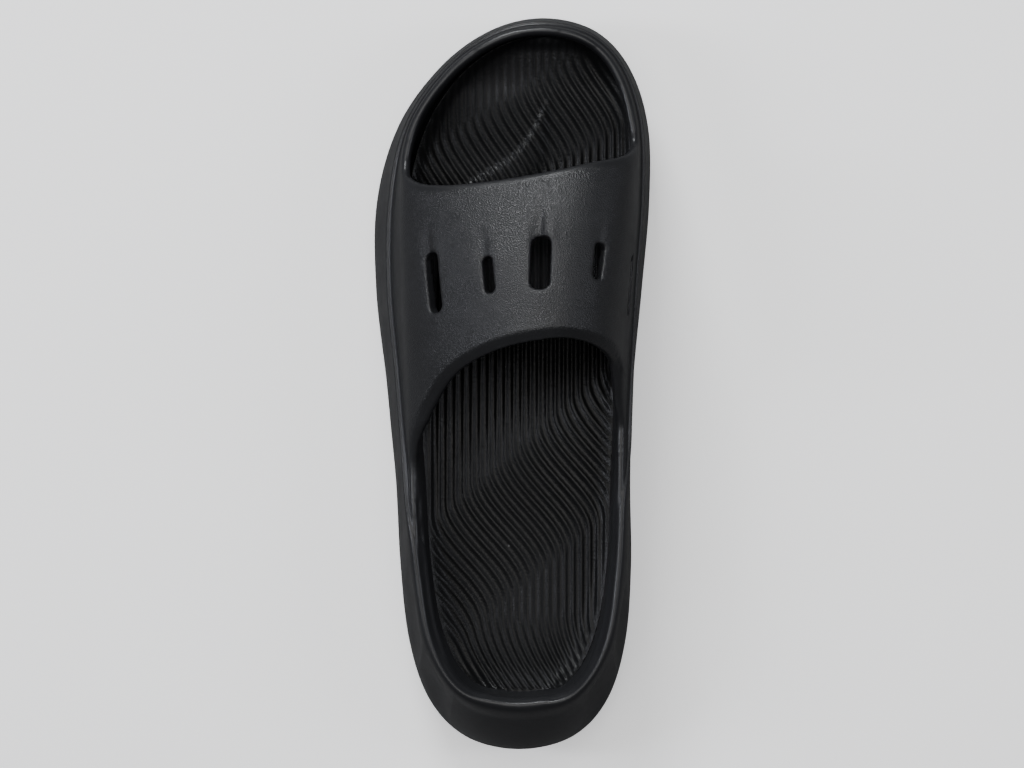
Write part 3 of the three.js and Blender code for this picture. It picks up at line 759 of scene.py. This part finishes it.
@dataclass
class Midsole:
    """The thick foam sole: rounded foot, flank with its scoops, lip and the cup for the footbed.

    rim_stops lead its skin over the heel's rim: share of the wall, inset and height, then the direction.
    """

    form: ShoeForm
    outsole_thickness: float = 5
    joint_inset: float = 3
    widest: float = 0.34
    rounding: float = 1.4
    scoop_depth: float = 2.6
    scoop_lean: float = 9
    scoops: tuple[Triple, Triple] = ((28, 44.5, 62), (28, 44.5, 60))
    crown_start: float = 0.82
    crisp_start: float = 0.93
    shoulder: float = 0.9
    climb: float = 4.5
    climb_share: float = 0.45
    rim_stops: Sequence[tuple[Triple, Pair]] = (
        ((0, 0.2, -1.4), (0.3, 0.95)),
        ((0, 1.3, 0.2), (1, -0.1)),
        ((0.7, 0, -1.8), (0.75, -0.65)),
        ((1, 1.3, -7.5), (0.12, -1)),
    )
    ledge: Pair = (-0.2, 0.15)
    rim_top: Pair = (1.2, 0.2)
    overlap: float = 0.22
    sink: float = 0.4
    collar: Pair = (79, 86.6)
    cup_length: float = 0.85
    foot_end: float = 0.14
    foot_rounding: float = 2.2
    flank_end: float = 0.5
    crown_end: float = 0.95
    crown_middle: float = 0.4
    dip: float = 1.4
    wrap_span: Pair = (17, 5)
    crisp_span: Pair = (14, 32)
    around: int = 420
    rows: int = 72
    evening: int = 10

    def scoop(self, side: Side, angle: float, rise: float) -> float:
        """Depth of the scoops between the leaning ridges, rise 0 to 1 up the flank."""
        place = angle + self.scoop_lean * (1 - rise)
        edges = self.scoops[side.value]
        for low, high in zip(edges, edges[1:]):
            if low <= place < high:
                share = (place - low) / (high - low)
                return self.scoop_depth * math.sin(math.pi * share) * math.sin(math.pi * rise ** 1.3)
        return 0.0

    def flank(self, s: Station, rise: float) -> Vector:
        """Inset and height of the flank, rise 0 at the widest line to 1 at the ridge."""
        widest = lerp(self.form.ground(s.point.y), s.ridge, self.widest)
        inset = s.flare * rise ** self.rounding + self.scoop(s.side, s.angle, rise)
        inset -= self.shoulder * (1 - self.wrap(s)) * min(s.flare / 4, 1) * rise ** 3
        return Vector((inset, lerp(widest, s.ridge, rise)))

    def wrap(self, s: Station) -> float:
        """1 where the skin goes over the heel rim's edge, 0 where it runs out on the upper's side."""
        start, end = (self.collar[s.side.value] - before for before in self.wrap_span)
        return 1 - smooth(s.angle, start, end)

    def crown(self, s: Station) -> tuple[Vector, Vector, Vector, Vector]:
        """The crown's middle and its end on the upper, with the directions there.

        Args:
            s: the station.

        Returns:
            The middle, the end and their two directions, each as inset and height.
        """
        wrap = self.wrap(s)
        wall = self.form.wall(s.point.y)
        foot = Vector((s.flare + self.form.lip + self.form.gap, s.ridge))
        rim = Vector((s.rim_in, s.rim))
        up = rim - foot
        stops = [(foot + up * min(self.climb_share, self.climb / up.length), up.normalized())]
        for (share, inset, rise), way in self.rim_stops:
            stops.append((rim + Vector((wall * share + inset, rise)), Vector(way)))
        place = wrap * (len(stops) - 1)
        i = min(int(place), len(stops) - 2)
        end, way = (a.lerp(b, place - i) for a, b in zip(stops[i], stops[i + 1]))
        ledge = Vector((s.flare, s.ridge)) + Vector(self.ledge)
        middle = ledge.lerp(rim + Vector(self.rim_top), wrap)
        return middle, end, Vector((1, -0.12 * wrap)).normalized(), way.normalized()

    @staticmethod
    def bend(start: Vector, leave: Vector, end: Vector, arrive: Vector, t: float) -> Vector:
        """A point of the smooth curve between two places that keeps the directions at both."""
        pull = (end - start).length
        t2, t3 = t * t, t * t * t
        p = start * (2 * t3 - 3 * t2 + 1) + leave * (pull * (t3 - 2 * t2 + t))
        return p + end * (3 * t2 - 2 * t3) + arrive * (pull * (t3 - t2))

    def profile(self, s: Station, v: float, skin: Skin) -> Vector:
        """A point up the outside.

        Args:
            s: the station.
            v: 0 at the joint, then the flank, the shoulder and the dip into the upper up to 1.
            skin: the upper's skin, which the crown runs out on.

        Returns:
            The point, in millimetres.
        """
        if v < self.foot_end:
            t = v / self.foot_end
            ground = self.form.ground(s.point.y)
            joint = ground + self.outsole_thickness + self.form.gap
            height = lerp(joint, lerp(ground, s.ridge, self.widest), t)
            return s.inset(self.joint_inset * (1 - t) ** self.foot_rounding, height)
        wrap = self.wrap(s)
        crisp = max(smooth(s.angle, *self.crisp_span), 1 - wrap)
        turn = lerp(self.crown_start, self.crisp_start, crisp)
        if v < self.flank_end:
            p = self.flank(s, (v - self.foot_end) / (self.flank_end - self.foot_end) * turn)
            return s.inset(p.x, p.y)
        start = self.flank(s, turn)
        leave = (start - self.flank(s, turn - 0.02)).normalized()
        middle, end, along, arrive = self.crown(s)
        t = min((v - self.flank_end) / (self.crown_end - self.flank_end), 1)
        if t < self.crown_middle:
            p = self.bend(start, leave, middle, along, t / self.crown_middle)
        else:
            p = self.bend(middle, along, end, arrive, (t - self.crown_middle) / (1 - self.crown_middle))
        point = s.inset(p.x, p.y)
        near, normal = skin.nearest(point)
        off = (point - near).dot(normal)
        free = max(off, self.overlap)
        follow = smooth(t, lerp(0.5, 0.38, wrap), lerp(0.8, 0.55, wrap))
        wanted = lerp(free, lerp(self.overlap, -self.sink, smooth(t, 0.8, 1)), follow)
        point += normal * (wanted - off)
        if v > self.crown_end:
            point -= normal * (self.dip * (v - self.crown_end) / (1 - self.crown_end))
        return point

    def build(self, finish: bpy.types.Material, upper: bpy.types.Object) -> bpy.types.Object:
        """Builds and dresses the midsole.

        Args:
            finish: its material.
            upper: the finished upper, which the sole's skin runs out on.

        Returns:
            The midsole.
        """
        bm = bmesh.new()
        rows = self.rows
        skin = Skin(upper.data)
        columns = 2 * self.around
        first = round(self.flank_end * rows) + 2
        around = []
        for k in range(columns):
            side = Side.LATERAL if k < self.around else Side.MEDIAL
            s = self.form.station(side, 180 * (1 - abs(2 * k / columns - 1)))
            around.append([self.profile(s, i / rows, skin) for i in range(rows + 1)])
        for _ in range(self.evening):
            before = [list(column[first:]) for column in around]
            for k in range(columns):
                left, here, right = before[k - 1], before[k], before[(k + 1) % columns]
                around[k][first:] = [(a + b * 2 + c) / 4 for a, b, c in zip(left, here, right)]

        def place(u: float, v: float) -> Vector:
            """A place of the skin, u round the shoe and v from the joint over the shoulder to the cup."""
            side = Side.LATERAL if u < 0.5 else Side.MEDIAL
            angle = 180 * (1 - abs(2 * u - 1))
            i = round(v * (rows + 3))
            s = self.form.station(side, angle)
            if i in (0, rows + 3):
                middle = (s.point + self.form.station(side.other, angle).point) / 2
                y = middle.y
                if i:
                    y *= self.cup_length
                    return Vector((middle.x, y, self.form.cavity(y)))
                return Vector((middle.x, y, self.form.ground(y) + self.outsole_thickness + self.form.gap))
            if i == rows + 2:
                base = s.inset(s.foot - self.form.wall(s.point.y) - self.form.gap, 0)
                base.z = self.form.cavity(base.y)
                return base
            return around[round(u * columns) % columns][i - 1]

        grid(bm, columns, rows + 3, place)
        weld(bm)
        return dress(to_object(bm, "midsole_moulding"), finish, "midsole")


@dataclass(frozen=True)
class Bend:
    """A bend of the footbed's ribs on a leaning line: place along and across, lean, reach and swing."""

    along: float
    across: float
    lean: float
    reach: float
    swing: float

    def drift(self, x: float, y: float) -> float:
        """How far a rib that comes in at x has swung at y."""
        return self.swing * smooth(self.along - self.lean * (self.across - x) - y, -self.reach, self.reach)


@dataclass
class Footbed:
    """The cupped footbed with its fine ribs, which swing to the medial side in two bends."""

    form: ShoeForm
    cup_rise: float = 3
    arch_support: float = 3.5
    flare_out: float = 1.6
    edge_rise: float = 2.2
    pitch: float = 3.3
    rib_height: float = 0.95
    rib_sharpness: float = 2.0
    toe: Bend = Bend(104, 4.5, 0.62, 17, 16)
    middle: Bend = Bend(-28.5, 20.6, 0.85, 20, 24)
    heel_bend: float = -92
    heel_reach: float = 30
    heel_swing: float = 13
    welt_height: float = 1.3
    welt_place: Pair = (-1.5, 90)
    welt_lean: float = 0.6
    welt_curve: float = 0.055
    welt_ends: tuple[Pair, Pair] = ((-34, -20), (12, 17))
    welt_front: float = 1.6
    welt_fall: Pair = (5, 30)
    span: Pair = (-98.0, 52.0)
    arch_place: float = 0.42
    arch_reach: float = 0.12
    worn: float = 0.35
    worn_spot: Triple = (-92, 22, 26)
    skirt_rise: float = 0.8
    per_rib: int = 6
    rows: int = 300

    def drift(self, start: float, y: float) -> float:
        """How far a rib has swung to the medial side on its way from toe to heel.

        Args:
            start: the rib's place across the shoe at the toe.
            y: the place along the shoe.

        Returns:
            The distance, in millimetres.
        """
        toe = self.toe.drift(start, y)
        middle = self.middle.drift(start + self.toe.swing, y)
        heel = self.heel_swing * (max(self.heel_bend - y, 0) / self.heel_reach) ** 1.8
        return toe + middle + heel

    def welt(self, x: float, y: float) -> float:
        """Height of the low welt that runs slantwise behind the toes."""
        aside = x - self.welt_place[0]
        behind = self.welt_place[1] + self.welt_lean * aside + self.welt_curve * max(aside, 0) ** 2 - y
        (start, full), (end, gone) = self.welt_ends
        across = smooth(x, start, full) * (1 - smooth(x, end, gone))
        front = smooth(behind, -self.welt_front, self.welt_front)
        return self.welt_height * front * (1 - smooth(behind, *self.welt_fall)) * across

    def build(self, finish: bpy.types.Material) -> bpy.types.Object:
        """Builds and dresses the footbed."""
        edges = []
        for side in Side:
            stations = [self.form.station(side, a * 0.75) for a in range(241)]
            edges.append([s.inset(s.foot - self.flare_out, 0) for s in stations])
        y0, y1 = edges[0][0].y, edges[0][-1].y

        @lru_cache(maxsize=None)
        def edge(side: int, y: float) -> float:
            """The footbed's edge on one side."""
            for a, b in zip(edges[side], edges[side][1:]):
                if a.y <= y <= b.y:
                    return lerp(a.x, b.x, (y - a.y) / max(b.y - a.y, 1e-9))
            return edges[side][0 if y < 0 else -1].x

        low, high = self.span
        worn_y, worn_across, worn_along = self.worn_spot
        ribs = round((high - low) / self.pitch)

        def place(u: float, v: float) -> Vector:
            """A place of the top, u over the ribs and v from heel to toe."""
            y = lerp(y0, y1, 0.5 - 0.5 * math.cos(math.pi * v))
            start = lerp(low, high, u)
            left, right = edge(0, y), edge(1, y)
            x = min(max(start + self.drift(start, y), left), right)
            across = (x - left) / max(right - left, 1e-6)
            rim = abs(2 * across - 1) ** 4
            share = self.form.share(y)
            arch = math.exp(-(((share - self.arch_place) / self.arch_reach) ** 2)) * smooth(across, 0.55, 1)
            z = self.form.footbed(y) + self.cup_rise * rim + self.arch_support * arch * (1 - rim)
            inside = min(x - left, right - x, y - y0, y1 - y)
            heel = smooth(-y, 70, 125)
            z += self.welt(x, y) + self.edge_rise * (1 - smooth(inside, 0, 7 + 7 * heel)) ** 2
            worn = 1 - self.worn * math.exp(-((x / worn_across) ** 2) - ((y - worn_y) / worn_along) ** 2)
            wave = (0.5 + 0.5 * math.cos(2 * math.pi * u * ribs)) ** self.rib_sharpness
            z += self.rib_height * worn * wave * smooth(inside, 0.5, 2.8)
            return Vector((x, y, z))

        bm = bmesh.new()
        grid(bm, ribs * self.per_rib, self.rows, place)
        weld(bm, 2e-6)
        rim = [e for e in bm.edges if e.is_boundary]
        skirt = bmesh.ops.extrude_edge_only(bm, edges=rim)
        low_rim = [v for v in skirt["geom"] if isinstance(v, bmesh.types.BMVert)]
        for vert in low_rim:
            vert.co.z = (self.form.cavity(vert.co.y / MM) + self.skirt_rise) * MM
        bmesh.ops.holes_fill(bm, edges=[e for e in bm.edges if e.is_boundary], sides=0)
        weld(bm, 1e-7)
        return dress(to_object(bm, "footbed_ribbed"), finish, "footbed")


@dataclass
class Outsole:
    """The tread layer with wavy grooves across it."""

    form: ShoeForm
    thickness: float = 5
    ground_inset: float = 6
    joint_inset: float = 3
    groove_depth: float = 2.5
    groove_width: float = 3.2
    groove_wave: float = 3
    wave_length: float = 42
    fields: Sequence[tuple[float, float, int]] = ((0.05, 0.34, 7), (0.49, 0.95, 11))
    rows: int = 520
    across: int = 48
    side_rows: int = 8

    def groove(self, x: float, y: float) -> float:
        """Depth of the tread's grooves at a place."""
        place = y - self.groove_wave * math.cos(2 * math.pi * x / self.wave_length)
        for start, end, count in self.fields:
            for i in range(count):
                middle = (lerp(start, end, i / (count - 1)) - 0.5) * self.form.length
                off = abs(place - middle) / (self.groove_width / 2)
                if off < 1.25:
                    return self.groove_depth * (1 - smooth(off, 0.7, 1.2))
        return 0.0

    def build(self, finish: bpy.types.Material) -> bpy.types.Object:
        """Builds and dresses the outsole."""
        rows, across, side_rows = self.rows, self.across, self.side_rows
        bm = bmesh.new()

        def place(u: float, v: float) -> Vector:
            """A place of the layer, u across the shoe and v from heel to toe."""
            angle = 180 * v
            ends = [self.form.station(side, angle) for side in Side]
            i = round(u * (across + 2 * side_rows)) - side_rows
            if 0 <= i <= across:
                a, b = (s.inset(self.ground_inset, 0) for s in ends)
                p = a.lerp(b, i / across)
                p.z = self.form.ground(p.y) + self.groove(p.x, p.y)
                return p
            side = 0 if i < 0 else 1
            t = (-i if i < 0 else i - across) / side_rows
            inset = lerp(self.ground_inset, self.joint_inset, math.sin(math.pi / 2 * t) ** 0.8)
            p = ends[side].inset(inset, 0)
            cut = self.groove(p.x, p.y) * (1 - smooth(t, 0.2, 0.75))
            p.z = self.form.ground(p.y) + max(self.thickness * (1 - math.cos(math.pi / 2 * t)) ** 0.9, cut)
            return p

        grid(bm, across + 2 * side_rows, rows, place)
        weld(bm, 2e-6)
        bmesh.ops.holes_fill(bm, edges=[e for e in bm.edges if e.is_boundary], sides=0)
        bmesh.ops.recalc_face_normals(bm, faces=bm.faces)
        return dress(to_object(bm, "outsole_tread"), finish, "outsole")


@dataclass(frozen=True)
class Foam:
    """A moulded foam finish.

    grain_size and grain_depth are millimetres, side_grain is the share of the depth left on upright walls,
    and side_roughness is what they have more than the lying faces. lint is the specks' strength.
    """

    name: str
    color: Triple
    roughness: float
    side_roughness: float
    specular: float
    grain_size: float
    grain_depth: float
    side_grain: float
    mottle: float
    lint: float = 0.0


UPPER_FOAM = Foam(
    name="upper_foam", color=(0.012, 0.0124, 0.014), roughness=0.35, side_roughness=0.12, specular=0.36,
    grain_size=0.5, grain_depth=0.14, side_grain=0.15, mottle=0.2,
)
MIDSOLE_FOAM = Foam(
    name="midsole_foam", color=(0.012, 0.0124, 0.014), roughness=0.36, side_roughness=0.1, specular=0.34,
    grain_size=0.6, grain_depth=0.03, side_grain=0.5, mottle=0.2,
)
FOOTBED_FOAM = Foam(
    name="footbed_foam", color=(0.005, 0.0052, 0.0056), roughness=0.34, side_roughness=0.0, specular=0.17,
    grain_size=0.7, grain_depth=0.06, side_grain=1.0, mottle=0.3, lint=0.5,
)
OUTSOLE_FOAM = Foam(
    name="outsole_foam", color=(0.012, 0.0122, 0.0132), roughness=0.55, side_roughness=0.0, specular=0.3,
    grain_size=0.8, grain_depth=0.12, side_grain=0.6, mottle=0.2,
)


class NodeMaker:
    """Adds nodes to a tree with their settings, values and links."""

    def __init__(self, tree: bpy.types.NodeTree) -> None:
        """Keeps the tree."""
        self.tree = tree

    def feed(self, socket: bpy.types.NodeSocket, value: object) -> None:
        """Links a socket to another one, or sets its value."""
        if isinstance(value, bpy.types.NodeSocket):
            self.tree.links.new(value, socket)
        else:
            socket.default_value = value

    def add(self, kind: str, inputs: dict, **settings: object) -> bpy.types.NodeOutputs:
        """Adds a node.

        Args:
            kind: the shader node's kind.
            inputs: values or sockets, by the input's name or number.
            settings: the node's own settings.

        Returns:
            The node's outputs.
        """
        made = self.tree.nodes.new("ShaderNode" + kind)
        for name, value in settings.items():
            setattr(made, name, value)
        for key, value in inputs.items():
            self.feed(made.inputs[key], value)
        return made.outputs

    def math(self, kind: str, *values: object) -> bpy.types.NodeSocket:
        """The result of a math node."""
        return self.add("Math", dict(enumerate(values)), operation=kind)["Value"]

    def mix(self, share: object, first: object, second: object) -> bpy.types.NodeSocket:
        """A colour between two, given as sockets or as four numbers."""
        return self.add("Mix", {"Factor": share, 6: first, 7: second}, data_type="RGBA")[2]

    def ramp(self, value: object, start: float, end: float, low: object, high: float, kind: str) -> object:
        """The socket of a value that is turned from one range into another."""
        ends = {"From Min": start, "From Max": end, "To Min": low, "To Max": high}
        return self.add("MapRange", {"Value": value, **ends}, interpolation_type=kind)["Result"]


class FoamShop:
    """Makes the foam materials from one shared group of nodes."""

    grain_stretch = (0.95, 1.1, 1.0)
    pebble_share = 1.3
    wander_share = 0.6
    mottle_scale = 42
    lint_scale = 90
    lint_radius = 0.035
    lint_rarity = 0.8
    lint_color = (0.12, 0.12, 0.12, 1)
    gloss_spread = 0.07

    def __init__(self) -> None:
        """Builds the shared group."""
        self.group = self.grain_group()

    def grain_group(self) -> bpy.types.NodeTree:
        """Builds the group for the pebbled grain, the foam's slow mottling and the specks of lint.

        Returns:
            The group, with inputs Grain Size in millimetres and Side Grain, and four masks as outputs.
        """
        group = bpy.data.node_groups.new("foam_grain", "ShaderNodeTree")
        sockets = {"INPUT": ("Grain Size", "Side Grain"), "OUTPUT": ("Height", "Mottle", "Lint", "Upright")}
        for way, names in sockets.items():
            for name in names:
                group.interface.new_socket(name, in_out=way, socket_type="NodeSocketFloat")
        make = NodeMaker(group)
        start, end = group.nodes.new("NodeGroupInput").outputs, group.nodes.new("NodeGroupOutput").inputs
        place = make.add("TexCoord", {})
        skin = make.add("Mapping", {"Vector": place["Object"], "Scale": self.grain_stretch})["Vector"]
        fine = {"Vector": skin, "Scale": make.math("DIVIDE", 1 / MM, start["Grain Size"])}
        pebbles = make.add("TexVoronoi", {**fine, "Smoothness": 0.6}, feature="SMOOTH_F1")["Distance"]
        wander = make.add("TexNoise", {**fine, "Detail": 3})["Fac"]
        pebbles = make.math("MULTIPLY", pebbles, self.pebble_share)
        rough = make.math("ADD", pebbles, make.math("MULTIPLY", wander, self.wander_share))
        rise = make.add("SeparateXYZ", {"Vector": place["Normal"]})["Z"]
        lying = make.ramp(rise, 0.2, 0.8, start["Side Grain"], 1, "SMOOTHSTEP")
        calm = make.add("Attribute", {}, attribute_name="calm")["Fac"]
        grained = make.math("MULTIPLY", lying, make.math("SUBTRACT", 1, calm))
        mottle = {"Vector": place["Object"], "Scale": self.mottle_scale, "Detail": 5, "Roughness": 0.62}
        specks = make.add("TexVoronoi", {"Vector": place["Object"], "Scale": self.lint_scale})
        small = make.math("LESS_THAN", specks["Distance"], self.lint_radius)
        hue = make.add("SeparateColor", {"Color": specks["Color"]})["Red"]
        few = make.math("GREATER_THAN", hue, self.lint_rarity)
        make.feed(end["Height"], make.math("MULTIPLY", rough, grained))
        make.feed(end["Mottle"], make.add("TexNoise", mottle)["Fac"])
        make.feed(end["Lint"], make.math("MULTIPLY", small, few))
        make.feed(end["Upright"], make.ramp(rise, 0.5, 0.12, 0, 1, "SMOOTHSTEP"))
        return group

    def make(self, foam: Foam) -> bpy.types.Material:
        """Makes one foam material.

        Args:
            foam: the finish's values.

        Returns:
            The material.
        """
        made = bpy.data.materials.new(foam.name)
        made.use_nodes = True
        make = NodeMaker(made.node_tree)
        wanted = {"Grain Size": foam.grain_size, "Side Grain": foam.side_grain}
        grain = make.add("Group", wanted, node_tree=self.group)
        dark, light = ((*(c * (1 + way * foam.mottle) for c in foam.color), 1) for way in (-1, 1))
        color = make.mix(grain["Mottle"], dark, light)
        if foam.lint:
            color = make.mix(make.math("MULTIPLY", grain["Lint"], foam.lint), color, self.lint_color)
        dull, bright = foam.roughness - self.gloss_spread, foam.roughness + self.gloss_spread
        gloss = make.ramp(grain["Mottle"], 0.3, 0.7, dull, bright, "LINEAR")
        bump = {"Strength": 1.0, "Distance": foam.grain_depth * MM, "Height": grain["Height"]}
        finish = {
            "Specular IOR Level": foam.specular,
            "Base Color": color,
            "Roughness": make.math("MULTIPLY_ADD", grain["Upright"], foam.side_roughness, gloss),
            "Normal": make.add("Bump", bump)["Normal"],
        }
        for name, value in finish.items():
            make.feed(made.node_tree.nodes["Principled BSDF"].inputs[name], value)
        return made


@dataclass
class Studio:
    """Pale floor, soft lights and the camera above the shoe."""

    camera_height: float = 1.55
    camera_aside: float = 0.0656
    aim_height: float = 0.02
    lens: float = 132.5
    floor_bounce: float = 0.2
    floor_glow: float = 0.5

    def camera(self) -> None:
        """Makes the camera, which looks down on the shoe from the medial side."""
        data = bpy.data.cameras.new("camera")
        data.lens = self.lens
        data.sensor_width = 36
        made = bpy.data.objects.new("camera", data)
        made.location = (self.camera_aside, 0, self.camera_height)
        made.rotation_euler = (0, math.atan2(self.camera_aside, self.camera_height - self.aim_height), 0)
        bpy.context.scene.collection.objects.link(made)
        bpy.context.scene.camera = made

    def floor(self) -> None:
        """Makes the pale floor."""
        bm = bmesh.new()
        bmesh.ops.create_grid(bm, x_segments=1, y_segments=1, size=3.0)
        made = to_object(bm, "floor")
        finish = bpy.data.materials.new("floor_white")
        finish.use_nodes = True
        make = NodeMaker(finish.node_tree)
        seen = make.add("LightPath", {})["Is Camera Ray"]
        paint = {
            "Roughness": 0.9,
            "Base Color": make.mix(seen, (*[self.floor_bounce] * 3, 1), (0.95, 0.95, 0.95, 1)),
            "Emission Color": (1, 1, 1, 1),
            "Emission Strength": make.math("MULTIPLY", seen, self.floor_glow),
        }
        for name, value in paint.items():
            make.feed(finish.node_tree.nodes["Principled BSDF"].inputs[name], value)
        made.data.materials.append(finish)

    def light(self, name: str, place: Triple, size: Pair, power: float, tint: Triple) -> None:
        """Adds one soft light that faces the shoe.

        Args:
            name: the light's name.
            place: where it stands, in metres.
            size: its width and height.
            power: its power in watts.
            tint: its colour.
        """
        data = bpy.data.lights.new(name, "AREA")
        data.shape = "RECTANGLE"
        data.size, data.size_y = size
        data.energy = power
        data.color = tint
        made = bpy.data.objects.new(name, data)
        made.location = place
        made.rotation_euler = (Vector((0, 0, 0.04)) - made.location).to_track_quat("-Z", "Y").to_euler()
        bpy.context.scene.collection.objects.link(made)

    def build(self) -> None:
        """Builds the whole studio."""
        self.camera()
        self.floor()
        self.light("over", (-0.1, 0.3, 2.0), (1.5, 1.3), 18, (1, 0.985, 0.96))
        self.light("left", (-1.5, 0.1, 1.2), (0.3, 0.9), 13, (0.9, 0.92, 1))
        self.light("right", (1.5, 0.1, 1.2), (0.3, 0.9), 7, (0.9, 0.92, 1))
        self.light("toe", (-0.35, 1.4, 0.95), (0.6, 0.4), 23, (0.96, 0.98, 1))
        world = bpy.data.worlds.new("studio")
        world.use_nodes = True
        world.node_tree.nodes["Background"].inputs["Color"].default_value = (1, 1, 1, 1)
        world.node_tree.nodes["Background"].inputs["Strength"].default_value = 0.15
        bpy.context.scene.world = world


def main() -> None:
    """Builds the studio and the shoe's pieces in order."""
    logging.basicConfig(level=logging.INFO, format="%(name)s %(message)s")
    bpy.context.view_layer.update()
    Studio().build()
    form = ShoeForm()
    shop = FoamShop()
    upper = Upper(form).build(shop.make(UPPER_FOAM))
    Midsole(form).build(shop.make(MIDSOLE_FOAM), upper)
    Footbed(form).build(shop.make(FOOTBED_FOAM))
    Outsole(form).build(shop.make(OUTSOLE_FOAM))
    log.info("sizes written")


if __name__ == "__main__":
    main()
